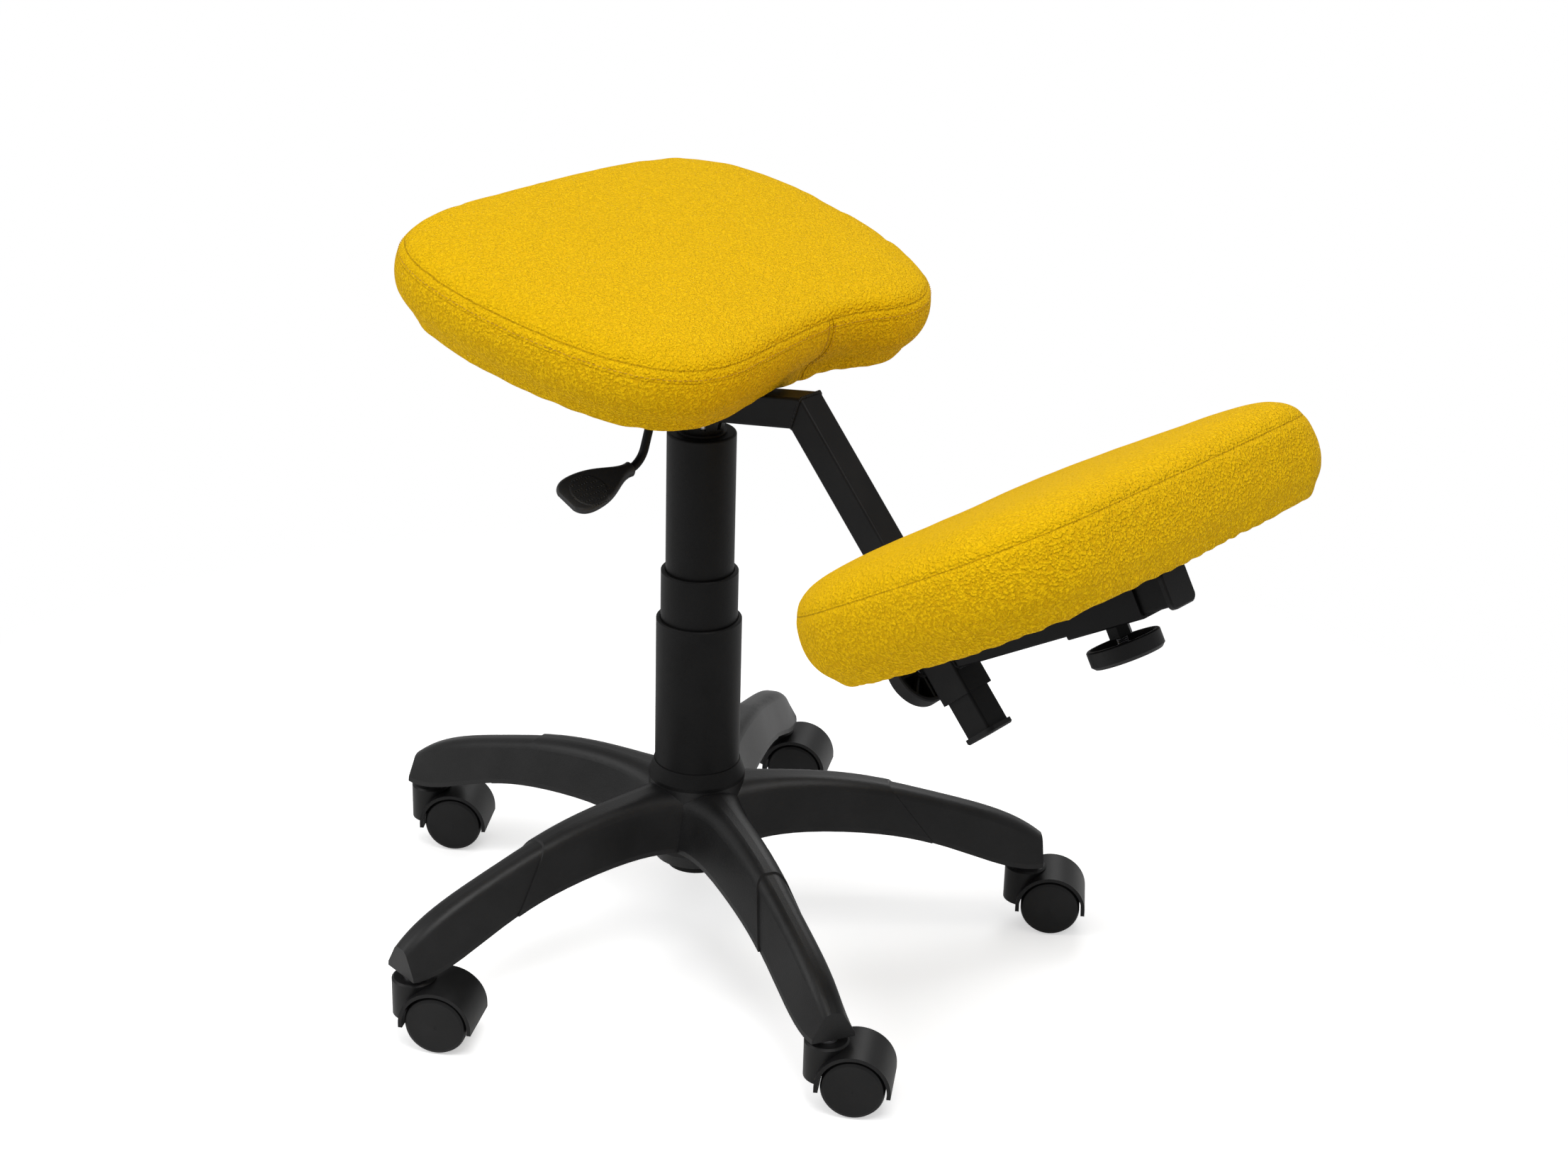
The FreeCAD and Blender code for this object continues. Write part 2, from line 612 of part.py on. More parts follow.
lever_hole = size("lever_radius") + size("safe_gap") + 0.1
feature(bracket, "Pocket", rings(bracket, "YZ_Plane", [(0, size("lever_height"), lever_hole)],
                                 lift=-half - 2), size("bracket_steel") + 4, back=True)
holes = [(sx * size("plate_width") * 0.4, sy * size("plate_length") * 0.4, 3.3)
         for sx in (-1, 1) for sy in (-1, 1)]
feature(bracket, "Pocket", rings(bracket, "XY_Plane", holes, lift=size("plate_lift") + 40), 120)


# Cranked frame of square tube, hollow, mitred at the crank, capped at the lower end.
def square_tube(label, length, side, wall_size, corner, keep=True):
    made = body(label, keep)
    half_side = side / 2
    solid = feature(made, "Pad", outline(made, "XY_Plane", block(half_side, -half_side, half_side)), length)
    rounded(made, solid, corner, runs_along(Z_AXIS))
    inner_half = half_side - wall_size
    feature(made, "Pocket", outline(made, "XY_Plane", block(inner_half, -inner_half, inner_half)),
            length, back=True)
    return made


def along(y_part, z_part):
    # Rotation that lays local Z along (0, y_part, z_part) and keeps local X.
    return FreeCAD.Rotation(X_AXIS, math.degrees(math.atan2(-y_part, z_part)))


def mitred(label, tube, cutters):
    current = tube
    for number, cutter in enumerate(cutters):
        cut = doc.addObject("Part::Cut", "%s_cut_%d" % (label, number))
        cut.Base = current
        cut.Tool = cutter
        current = cut
    current.Label = label
    NODES.append(current)
    doc.recompute()
    return current


def cutter_box(name, base_point, direction):
    # Box that removes everything beyond base_point along a direction in the X = 0 plane.
    box = doc.addObject("Part::Box", name)
    reach = num("tube_side") * 5
    box.Length = reach
    box.Width = reach
    box.Height = reach
    turn = along(direction[0], direction[1])
    corner = base_point - turn.multVec(FreeCAD.Vector(reach / 2, reach / 2, 0))
    place(box, corner, turn)
    return box


rise_angle = math.radians(num("upper_rise"))
fall_angle = math.radians(num("crank_fall"))
upper_way = (-math.cos(rise_angle), math.sin(rise_angle))
crank_way = (-math.cos(fall_angle), -math.sin(fall_angle))
crank_spot = FreeCAD.Vector(0, num("crank_y"), num("crank_z"))
upper_long = abs(num("crank_y")) / math.cos(rise_angle) + 24.0
upper = square_tube("upper_blank", dim(upper_long), size("tube_side"), size("tube_wall"),
                    size("tube_corner"), False)
upper_start = FreeCAD.Vector(0, 0, num("crank_z") - abs(num("crank_y")) * math.tan(rise_angle))
place(upper, upper_start, along(*upper_way))
mitre = (upper_way[0] + crank_way[0], upper_way[1] + crank_way[1])
post = doc.addObject("Part::Cylinder", "socket_cope")
bind(post, "Radius", size("socket_radius"))
post.Radius = num("socket_radius")
post.Height = num("socket_head") - num("socket_foot") + num("tube_side") * 6
place(post, FreeCAD.Vector(0, 0, num("socket_foot") - num("tube_side") * 3))
mitred("upper_tube", upper, [cutter_box("upper_mitre", crank_spot, mitre), post])
back_up = 24.0
crank_blank = square_tube("crank_blank", size("crank_length") + back_up, size("tube_side"), size("tube_wall"),
                          size("tube_corner"), False)
crank_start = crank_spot - FreeCAD.Vector(0, crank_way[0], crank_way[1]) * back_up
place(crank_blank, crank_start, along(*crank_way))
mitred("diagonal_tube", crank_blank, [cutter_box("crank_mitre", crank_spot, (-mitre[0], -mitre[1]))])


def end_cap(label, spot, way):
    made = body(label)
    half_cap = size("cap_side") / 2
    plate = feature(made, "Pad", outline(made, "XY_Plane", block(half_cap, -half_cap, half_cap)),
                    size("cap_thick"))
    soft = rounded(made, plate, size("cap_corner"), runs_along(Z_AXIS))
    top_edge = num("cap_thick")

    def outer_rim(edge):
        return edge.BoundBox.ZMin > top_edge - 0.01

    rounded(made, soft, 1.2, outer_rim, "Chamfer")
    plug = size("tube_side") / 2 - size("tube_wall") - size("plug_play")
    feature(made, "Pad", outline(made, "XY_Plane", block(plug, -plug, plug)), size("cap_plug"), back=True)
    place(made, spot, along(*way))


crank_end = crank_spot + FreeCAD.Vector(0, crank_way[0], crank_way[1]) * num("crank_length")
end_cap("tube_cap", crank_end, crank_way)


# Knee carriage: sleeve on the diagonal tube, bar at its own slope, nut and handwheel.
def sleeve(label, spot, way, keep=True):
    inner_side = size("tube_side") + size("sleeve_play") * 2
    made = body(label, keep)
    half_out = size("sleeve_side") / 2
    solid = feature(made, "Pad", outline(made, "XY_Plane", block(half_out, -half_out, half_out)),
                    size("sleeve_length"))
    rounded(made, solid, 2.0, runs_along(Z_AXIS))
    half_in = inner_side / 2
    feature(made, "Pocket", outline(made, "XY_Plane", block(half_in, -half_in, half_in)),
            size("sleeve_length"), back=True)
    screw = [(0, size("sleeve_length") / 2, size("stud_radius") + 0.1)]
    feature(made, "Pocket", rings(made, "XZ_Plane", screw, lift=half_out + 4), half_out)
    place(made, spot, along(*way))
    return made


def nut(label, spot, way):
    made = body(label)
    flat = size("nut_across") / 2
    point = flat * (2 / math.sqrt(3))
    corners = [(point * math.cos(math.radians(60 * i + 30)), point * math.sin(math.radians(60 * i + 30)))
               for i in range(6)]
    feature(made, "Pad", outline(made, "XY_Plane", corners), size("nut_height"))
    feature(made, "Pocket", rings(made, "XY_Plane", [(0, 0, size("stud_radius") + size("running_fit"))]),
            size("nut_height"), back=True)
    place(made, spot, along(*way))


def handwheel(label, stud_label, spot, way):
    # Local Z points away from the tube; the recess with its ribs faces the tube.
    wheel = body(label)
    start = size("nut_height") + size("rim_stand")
    rim = size("wheel_rim")
    finish = start + size("rim_height")
    shell = rim - size("rim_wall")
    inner_floor = finish - size("rim_floor")
    turned(wheel, [
        (size("stud_radius"), start + 3), (size("rim_hub"), start + 3), (size("rim_hub"), inner_floor),
        (shell, inner_floor), (shell, start), (rim - 1, start), (rim, start + 1), (rim, finish - 2.5),
        (rim - 2.5, finish), (size("stud_radius"), finish),
    ])
    rib = feature(wheel, "Pad", outline(wheel, "XY_Plane", [
        (size("rim_hub") - 0.5, -size("rib_thick") / 2), (shell + 0.5, -size("rib_thick") / 2),
        (shell + 0.5, size("rib_thick") / 2), (size("rim_hub") - 0.5, size("rib_thick") / 2),
    ], lift=start + 4), size("rim_height") - size("rim_floor") - 3.5)
    around(wheel, [rib], size("rim_ribs"))
    place(wheel, spot, along(*way))
    stud = body(stud_label)
    depth = size("sleeve_side") / 2 - size("tube_side") / 2 - size("safe_gap")
    s = size("stud_radius")
    turned(stud, [(0, -depth), (s - 1, -depth), (s, 1 - depth), (s, finish), (0, finish)])
    place(stud, spot, along(*way))


crank_dir = FreeCAD.Vector(0, crank_way[0], crank_way[1])
front_dir = FreeCAD.Vector(0, -math.sin(fall_angle), math.cos(fall_angle))
knee_low = num("crank_length") - num("knee_rest")
knee_top = knee_low - num("sleeve_length")
knee_spot = crank_spot + crank_dir * knee_top
knee = sleeve("knee_sleeve", knee_spot, crank_way)
knee_middle = crank_spot + crank_dir * (knee_top + num("sleeve_length") / 2)
knee_under = knee_middle - front_dir * (num("sleeve_side") / 2)
under_way = (-front_dir.y, -front_dir.z)
nut("knee_nut", knee_under, under_way)
handwheel("knee_knob", "knee_stud", knee_under, under_way)

bar_angle = math.radians(num("bar_rise"))
bar_dir = FreeCAD.Vector(0, -math.cos(bar_angle), math.sin(bar_angle))
bar_up = FreeCAD.Vector(0, math.sin(bar_angle), math.cos(bar_angle))
bar_way = (bar_dir.y, bar_dir.z)
front_level = front_dir.dot(knee_middle) + num("sleeve_side") / 2
bar_begin = (front_level - front_dir.dot(bar_up) * num("bar_level")) / front_dir.dot(bar_dir)
bar_spare = 20.0
bar_long = num("bar_reach") - bar_begin + bar_spare
bar_blank = square_tube("bar_blank", dim(bar_long), size("tube_side"), size("tube_wall"),
                        size("tube_corner"), False)
bar_spot = bar_dir * (bar_begin - bar_spare) + bar_up * num("bar_level")
place(bar_blank, bar_spot, along(*bar_way))
face_spot = knee_middle + front_dir * (num("sleeve_side") / 2)
mitred("knee_bar", bar_blank, [cutter_box("bar_cope", face_spot, (-front_dir.y, -front_dir.z))])
bar_end = bar_dir * num("bar_reach") + bar_up * num("bar_level")
end_cap("bar_cap", bar_end, bar_way)

# Pad carriage: sleeve with its welded plate, nut, handwheel, board and cushion.
pad_sleeve_spot = bar_dir * num("pad_rest") + bar_up * num("bar_level")
pad_holder = sleeve("pad_sleeve", pad_sleeve_spot, bar_way)
half_out = size("sleeve_side") / 2
plate_mid = size("sleeve_length") / 2
feature(pad_holder, "Pad", outline(pad_holder, "XZ_Plane", [
    (-size("pad_plate_width") / 2, plate_mid - size("pad_plate_length") / 2),
    (size("pad_plate_width") / 2, plate_mid - size("pad_plate_length") / 2),
    (size("pad_plate_width") / 2, plate_mid + size("pad_plate_length") / 2),
    (-size("pad_plate_width") / 2, plate_mid + size("pad_plate_length") / 2),
], lift=-half_out), size("pad_plate"), back=True)
pad_middle = bar_dir * (num("pad_rest") + num("sleeve_length") / 2) + bar_up * num("bar_level")
pad_under = pad_middle - bar_up * (num("sleeve_side") / 2)
pad_under_way = (-bar_up.y, -bar_up.z)
nut("pad_nut", pad_under, pad_under_way)
handwheel("pad_knob", "pad_stud", pad_under, pad_under_way)


# Soft forms: closed rings of the outline, tucked in below, swelling at the sides, crowned above the seam.
def ring_wire(points, height):
    curve = Part.BSplineCurve()
    curve.interpolate([FreeCAD.Vector(x, y, height) for x, y in points], PeriodicFlag=True)
    return Part.Wire([curve.toShape()])


def shrink(points, inset, centre_y):
    made = []
    for x, y in points:
        reach = math.hypot(x, y - centre_y)
        scale = max(reach - inset, 0.5) / reach
        made.append((x * scale, centre_y + (y - centre_y) * scale))
    return made


def soft_form(stack):
    # Smooth skin over a stack of rings with equal point counts, closed flat at both ends.
    count = len(stack[0])
    levels = len(stack)
    poles = [[FreeCAD.Vector(*stack[j][i]) for j in range(levels)] for i in range(count)]
    skin = Part.BSplineSurface()
    around_knots = [float(k) for k in range(count + 1)]
    upward_knots = [float(k) for k in range(levels - 2)]
    skin.buildFromPolesMultsKnots(poles, [1] * (count + 1), [4] + [1] * (levels - 4) + [4],
                                  around_knots, upward_knots, True, False, 3, 3)
    side = skin.toShape()
    rims = [edge for edge in side.Edges if edge.BoundBox.ZLength < 1e-6]
    closed = Part.Compound([side] + [Part.Face(Part.Wire([edge])) for edge in rims])
    closed.sewShape()
    solid = Part.Solid(closed.Shells[0])
    if solid.Volume < 0:
        solid.reverse()
    return solid


def cushion_levels(low, seam, crown, tuck, bulge, spread):
    side = [(0.0, tuck), (0.04, tuck * 0.72), (0.14, tuck * 0.27), (0.35, -bulge * 0.5), (0.6, -bulge * 1.25),
            (0.84, -bulge * 0.75), (1.0, 0.0)]
    top = [(0.40, 0.043), (0.67, 0.12), (0.87, 0.26), (0.967, 0.46), (1.0, 0.65), (1.0, 0.75)]
    levels = [(low + (seam - low) * part, inset) for part, inset in side]
    return levels + [(seam + crown * part, spread * inset) for part, inset in top]


def board_shape(points, inset, low, thickness, centre_y):
    face = Part.Face(ring_wire(shrink(points, inset, centre_y), low))
    return face.extrude(FreeCAD.Vector(0, 0, thickness))


def solid_node(label, shape, placement):
    made = doc.addObject("Part::Feature", label)
    made.Label = label
    made.Shape = shape
    made.Placement = placement
    NODES.append(made)
    return made


wide = num("seat_half_width")
front = num("seat_front")
rear = num("seat_back")


def seat_outline(notch):
    half_seat = [
        (0.0, notch - front), (0.18, notch * 0.80 - front), (0.36, notch * 0.28 - front), (0.52, -front),
        (0.66, 0.045 * front - front), (0.78, 0.19 * front - front), (0.87, 0.40 * front - front),
        (0.935, -0.27 * front), (0.98, 0.08 * rear), (1.0, 0.34 * rear), (0.985, 0.58 * rear),
        (0.91, 0.80 * rear), (0.73, 0.945 * rear), (0.425, 0.985 * rear), (0.0, rear),
    ]
    near = [(share * wide, y) for share, y in half_seat]
    return near + [(-x, y) for x, y in reversed(near[1:-1])]


seat_points = seat_outline(num("seat_notch") * (1.0 + num("notch_deepening")))
seat_centre = (rear - front) / 2
seat_levels = cushion_levels(num("seat_base"), num("seat_seam"), num("seat_crown"), num("seat_tuck"),
                             num("seat_bulge"), wide)
seat_stack = []
for height, inset in seat_levels:
    above = max(height - num("seat_seam"), 0.0) / num("seat_crown")
    below = max(num("seat_seam") - height, 0.0) / (num("seat_seam") - num("seat_base"))
    share = 1.0 - 0.8 * above + num("notch_deepening") * below
    ring = shrink(seat_outline(num("seat_notch") * share), inset, seat_centre)
    seat_stack.append([(x, y, height) for x, y in ring])
seat_frame = FreeCAD.Placement(FreeCAD.Vector(0, 0, num("plate_lift")),
                               FreeCAD.Rotation(X_AXIS, num("seat_tilt")))
seat_panel = board_shape(seat_points, num("seat_board_inset"), 0.0, num("seat_board"), seat_centre)
solid_node("seat_board", seat_panel, seat_frame)
solid_node("seat_cushion", soft_form(seat_stack).cut(seat_panel), seat_frame)


def rounded_rectangle(half_long, half_wide, corner):
    points = []
    spots = ((half_long - corner, half_wide - corner, 0), (corner - half_long, half_wide - corner, 90),
             (corner - half_long, corner - half_wide, 180), (half_long - corner, corner - half_wide, 270))
    for cx, cy, start in spots:
        for part in range(5):
            angle = math.radians(start + 22.5 * part)
            points.append((cx + corner * math.cos(angle), cy + corner * math.sin(angle)))
    return points


pad_points = rounded_rectangle(num("pad_half_length"), num("pad_half_width"), num("pad_corner"))
pad_level = num("bar_level") + num("sleeve_side") / 2 + num("pad_plate")
pad_spot = bar_dir * num("pad_centre") + bar_up * pad_level
pad_frame = FreeCAD.Placement(pad_spot, FreeCAD.Rotation(X_AXIS, -num("bar_rise")))
pad_levels = cushion_levels(num("pad_base"), num("pad_seam"), num("pad_crown"), num("pad_tuck"),
                            num("pad_bulge"), num("pad_half_width"))
pad_stack = [[(x, y, height) for x, y in shrink(pad_points, inset, 0.0)] for height, inset in pad_levels]
pad_panel = board_shape(pad_points, num("board_inset"), 0.0, num("board_thick"), 0.0)
solid_node("pad_board", pad_panel, pad_frame)
solid_node("knee_cushion", soft_form(pad_stack).cut(pad_panel), pad_frame)

# Lever: bent rod swept along its path, leaf-shaped paddle lofted on its end.
rod_body = body("lever_rod")
zr = size("lever_height")
fall = size("lever_fall")
left = size("lever_fall") - size("lever_turn")
small = size("bend_small")
large = size("bend_large")
bend_x = -size("lever_bend")
p_x = bend_x - small * sine(fall)
p_z = zr - small + small * cosine(fall)
q_x = p_x - size("lever_drop") * cosine(fall)
q_z = p_z - size("lever_drop") * sine(fall)
o_x = q_x - large * sine(fall)
o_z = q_z + large * cosine(fall)
e_x = o_x + large * sine(left)
e_z = o_z - large * cosine(left)
t_x = e_x - size("lever_tail") * cosine(left)
t_z = e_z - size("lever_tail") * sine(left)
path = outline(rod_body, "XZ_Plane", [
    (size("lever_inner"), zr), (bend_x, zr, bend_x, zr - small, small), (p_x, p_z),
    (q_x, q_z, o_x, o_z, large), (e_x, e_z), (t_x, t_z),
], closed=False)
circle = rings(rod_body, "YZ_Plane", [(0, zr, size("lever_radius"))], lift=size("lever_inner"))
sweep = rod_body.newObject("PartDesign::AdditivePipe", "lever_sweep")
sweep.Profile = circle
sweep.Spine = path
path.Visibility = False
circle.Visibility = False
doc.recompute()

paddle = body("lever_paddle")
neck = size("paddle_neck")
leaf = size("paddle_width")
LEAF = [(0.0, neck, neck), (0.12, neck * 1.05, neck), (0.34, leaf * 0.66, neck * 0.90),
        (0.58, leaf * 0.95, size("paddle_thick")), (0.80, leaf, size("paddle_thick") * 0.92),
        (0.94, leaf * 0.84, size("paddle_thick") * 0.76), (1.0, leaf * 0.56, size("paddle_thick") * 0.5)]
leaf_sections = []
for share, wide_part, thick_part in LEAF:
    hw = dim(wide_part) / 2
    ht = dim(thick_part) / 2
    soft = ht * 0.85
    leaf_sections.append(outline(paddle, "YZ_Plane", [
        (hw, soft - ht), (hw, ht - soft, hw - soft, ht - soft, soft), (hw - soft, ht),
        (soft - hw, ht, soft - hw, ht - soft, soft), (-hw, ht - soft),
        (-hw, soft - ht, soft - hw, soft - ht, soft),
        (soft - hw, -ht), (hw - soft, -ht, hw - soft, soft - ht, soft),
    ], lift=size("paddle_length") * share))
lofted(paddle, leaf_sections)
feature(paddle, "Pocket", rings(paddle, "YZ_Plane", [(0, 0, size("lever_radius"))]), size("lever_tail"),
        back=True)
neck_spot = FreeCAD.Vector(e_x.number, 0, e_z.number)
outward = FreeCAD.Rotation(Y_AXIS, 180 - left.number)
place(paddle, neck_spot, outward.multiply(FreeCAD.Rotation(X_AXIS, -num("paddle_twist"))))

doc.recompute()
os.makedirs("parts", exist_ok=True)
troubled = [item.Label for item in doc.Objects if set(item.State) & {"Invalid", "Error"}]
troubled += [node.Label for node in NODES if node.Shape.isNull() or not node.Shape.isValid()]
if troubled:
    raise RuntimeError("not sound: " + ", ".join(troubled))
for node in NODES:
    node.Shape.exportStep("parts/%s.step" % node.Label)
    box = node.Shape.BoundBox
    print("%-24s solids %d  x %.1f..%.1f  y %.1f..%.1f  z %.1f..%.1f  volume %.0f" % (
        node.Label, len(node.Shape.Solids), box.XMin, box.XMax, box.YMin, box.YMax, box.ZMin, box.ZMax,
        node.Shape.Volume))
print("nodes", len(NODES))
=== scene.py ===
import bpy
import bmesh
import json
import math
from mathutils import Matrix, Vector, noise
from mathutils.bvhtree import BVHTree


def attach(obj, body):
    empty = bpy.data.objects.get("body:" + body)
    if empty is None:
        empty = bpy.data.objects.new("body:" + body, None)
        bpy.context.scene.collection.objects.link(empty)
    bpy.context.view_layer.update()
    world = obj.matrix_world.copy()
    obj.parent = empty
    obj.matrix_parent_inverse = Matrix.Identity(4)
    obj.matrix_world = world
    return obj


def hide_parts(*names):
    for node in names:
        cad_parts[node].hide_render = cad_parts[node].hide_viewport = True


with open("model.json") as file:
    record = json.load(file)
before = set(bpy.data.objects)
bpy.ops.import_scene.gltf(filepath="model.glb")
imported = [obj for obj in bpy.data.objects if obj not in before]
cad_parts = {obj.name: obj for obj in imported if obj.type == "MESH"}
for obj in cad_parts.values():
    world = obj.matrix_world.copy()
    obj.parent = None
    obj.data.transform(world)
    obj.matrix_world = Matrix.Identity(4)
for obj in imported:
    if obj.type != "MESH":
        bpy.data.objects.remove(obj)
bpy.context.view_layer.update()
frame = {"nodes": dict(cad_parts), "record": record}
nodes = frame["nodes"]
bpy.ops.object.select_all(action="DESELECT")
print("frame loaded:", len(nodes), "nodes")


# shader helpers
class Sock:
    def __init__(self, finish, socket):
        self.finish = finish
        self.socket = socket

    def maths(self, operation, first, second=None, third=None):
        links = {0: first}
        if second is not None:
            links[1] = second
        if third is not None:
            links[2] = third
        return self.finish.node("ShaderNodeMath", {"operation": operation}, links)

    def __add__(self, other):
        return self.maths("ADD", self, other)

    def __radd__(self, other):
        return self.maths("ADD", other, self)

    def __sub__(self, other):
        return self.maths("SUBTRACT", self, other)

    def __rsub__(self, other):
        return self.maths("SUBTRACT", other, self)

    def __mul__(self, other):
        return self.maths("MULTIPLY", self, other)

    def __rmul__(self, other):
        return self.maths("MULTIPLY", other, self)

    def top(self, other):
        return self.maths("MAXIMUM", self, other)

    def size(self):
        return self.maths("ABSOLUTE", self)

    def wave(self):
        return self.maths("SINE", self)

    def line(self, width):
        return 1.0 - self.size().smooth(width * 0.35, width)

    def smooth(self, low, high):
        limits = {"Value": self, "From Min": low, "From Max": high, "To Min": 0.0, "To Max": 1.0}
        return self.finish.node("ShaderNodeMapRange", {"interpolation_type": "SMOOTHSTEP"}, limits)


class Finish:
    def __init__(self, name):
        self.material = bpy.data.materials.new(name)
        self.material.use_nodes = True
        self.tree = self.material.node_tree
        self.shader = self.tree.nodes["Principled BSDF"]

    def node(self, kind, settings, links, out=0):
        made = self.tree.nodes.new(kind)
        for key, value in settings.items():
            setattr(made, key, value)
        for key, value in links.items():
            if isinstance(value, Sock):
                self.tree.links.new(value.socket, made.inputs[key])
            else:
                made.inputs[key].default_value = value
        return Sock(self, made.outputs[out])

    def place(self):
        return self.node("ShaderNodeTexCoord", {}, {}, out="Object")

    def grain(self, scale, detail=2.0, rough=0.5, where=None):
        links = {"Vector": where or self.place(), "Scale": scale, "Detail": detail, "Roughness": rough}
        return self.node("ShaderNodeTexNoise", {}, links)

    def cells(self, scale, where=None, feature="F1", spread=1.0):
        return self.node("ShaderNodeTexVoronoi", {"feature": feature},
                         {"Vector": where or self.place(), "Scale": scale, "Randomness": spread})

    def blend(self, factor, first, second):
        return self.node("ShaderNodeMix", {"data_type": "RGBA"}, {0: factor, 6: first, 7: second}, out=2)

    def bump(self, height, strength, distance):
        return self.node("ShaderNodeBump", {}, {"Height": height, "Strength": strength, "Distance": distance})

    def mark(self, name):
        return self.node("ShaderNodeAttribute", {"attribute_name": name}, {}, out="Fac")

    def along(self, way):
        return self.node("ShaderNodeVectorMath", {"operation": "DOT_PRODUCT"}, {0: self.place(), 1: way},
                         out="Value")

    def away(self, spot):
        return self.node("ShaderNodeVectorMath", {"operation": "DISTANCE"}, {0: self.place(), 1: spot},
                         out="Value")

    def wear(self, **sockets):
        for key, value in sockets.items():
            target = self.shader.inputs[key.replace("_", " ")]
            if isinstance(value, Sock):
                self.tree.links.new(value.socket, target)
            else:
                target.default_value = value
        return self.material


def tone(red, green, blue):
    return (red, green, blue, 1.0)


# pebble colours: the darkest one is painted shade for the grain's hollows on the side panels below the seam
clothLook = {"light": (0.950, 0.575, 0.0036), "deep": (0.820, 0.470, 0.0025), "pitShade": (0.675, 0.374, 0.002),
             "seam": (0.30, 0.14, 0.001), "shadedFlank": (-0.014, 0.004), "wear": (0.65, 0.35),
             "grain": 560.0, "fine": 1300.0, "bump": 1.0, "depth": 0.0021, "rough": 0.80,
             "shoveScale": 400.0, "shove": 0.0018, "seamLine": 0.00075, "crease": 0.0030, "jointLine": 0.0010,
             "jointGap": 0.0022, "rowLine": 0.0006, "rowCrease": 0.0026, "seamShade": 0.62,
             "creaseDepth": 0.38}


def yellowCloth(name, topStitch=0.0, joint=False):
    cloth = Finish(name)
    links = {"Vector": cloth.place(), "Scale": clothLook["shoveScale"], "Detail": 2.0}
    shove = cloth.node("ShaderNodeTexNoise", {}, links, out="Color")
    warp = cloth.node("ShaderNodeMix", {"data_type": "VECTOR"},
                      {0: clothLook["shove"], 4: cloth.place(), 5: shove}, out=1)
    pebble = cloth.cells(clothLook["grain"], warp, "SMOOTH_F1")
    crepe = cloth.grain(clothLook["fine"], 3.0, 0.6, warp)
    lumps = 1.0 - pebble.smooth(0.10, 0.66)
    height = lumps * 0.75 + crepe * 0.45
    gap = cloth.mark("seamGap")
    worn = clothLook["wear"][0] + clothLook["wear"][1] * crepe.smooth(0.35, 0.65)
    line = gap.line(clothLook["seamLine"]) * worn
    crease = gap.line(clothLook["crease"])
    if topStitch:
        row = gap + topStitch
        line = line.top(row.line(clothLook["rowLine"]) * 0.6)
        crease = crease.top(row.line(clothLook["rowCrease"]) * 0.4)
    if joint:
        side = cloth.mark("jointGap")
        # the joint is felled: two rows beside each other
        for way in (-1, 1):
            line = line.top((side + way * clothLook["jointGap"]).line(clothLook["jointLine"]))
        crease = crease.top(side.line(clothLook["crease"]))
    # painted shade: on the side panels below the seam the hollows of the grain take a darker colour, standing
    # in for the shade they lie in under the top light
    shadedFlank = 1.0 - gap.smooth(*clothLook["shadedFlank"])
    pits = cloth.blend(shadedFlank, tone(*clothLook["deep"]), tone(*clothLook["pitShade"]))
    # the hollows are coloured darker than the pebble tops, partly the grain's own tone and partly painted
    # shade
    colour = cloth.blend((lumps * 0.6 + crepe * 0.6).smooth(0.20, 0.74), pits, tone(*clothLook["light"]))
    colour = cloth.blend(clothLook["seamShade"] * line, colour, tone(*clothLook["seam"]))
    return cloth.wear(Base_Color=colour, Roughness=clothLook["rough"] + 0.12 * crepe, Specular_IOR_Level=0.06,
                      Normal=cloth.bump(height - crease * clothLook["creaseDepth"], clothLook["bump"],
                                        clothLook["depth"]))


def mouldedBlack(name, dark, pale, rough, grainScale, bump, gloss=0.24):
    skin = Finish(name)
    cloud = skin.grain(26.0, 3.0)
    speck = skin.grain(grainScale, 2.0, 0.6)
    pits = skin.cells(grainScale * 0.45)
    colour = skin.blend(cloud.smooth(0.3, 0.75), tone(dark, dark, dark * 1.04), tone(pale, pale, pale * 1.04))
    roughness = rough + 0.10 * cloud + 0.10 * speck
    return skin.wear(Base_Color=colour, Roughness=roughness, Specular_IOR_Level=gloss,
                     Normal=skin.bump(speck * 0.6 + pits * 0.5, bump, 0.0003))


def coatedSteel():
    coat = Finish("coatedSteel")
    peel = coat.grain(420.0, 2.0, 0.55)
    cloud = coat.grain(18.0, 2.0)
    speck = coat.grain(2200.0, 1.0)
    colour = coat.blend(cloud.smooth(0.3, 0.7), tone(0.0035, 0.0035, 0.0037), tone(0.0075, 0.0075, 0.0078))
    return coat.wear(Base_Color=colour, Roughness=0.36 + 0.14 * cloud + 0.05 * speck, Specular_IOR_Level=0.14,
                     Normal=coat.bump(peel + speck * 0.2, 0.16, 0.0004))


def brightSteel():
    steel = Finish("brightSteel")
    stretch = steel.node("ShaderNodeMapping", {}, {"Vector": steel.place(), "Scale": (1.0, 1.0, 14.0)})
    lines = steel.grain(320.0, 3.0, 0.6, stretch)
    tint = steel.blend(lines, tone(0.46, 0.46, 0.47), tone(0.68, 0.68, 0.70))
    return steel.wear(Base_Color=tint, Roughness=0.22 + 0.16 * lines, Metallic=1.0,
                      Normal=steel.bump(lines, 0.06, 0.0002))


def dustCover():
    felt = Finish("dustCover")
    weave = felt.cells(900.0, None, "DISTANCE_TO_EDGE")
    fuzz = felt.grain(700.0, 4.0, 0.7)
    colour = felt.blend(fuzz, tone(0.012, 0.012, 0.012), tone(0.032, 0.032, 0.033))
    return felt.wear(Specular_IOR_Level=0.2, Base_Color=colour, Roughness=0.86 + 0.1 * fuzz,
                     Normal=felt.bump(weave + fuzz * 0.6, 0.3, 0.0005))


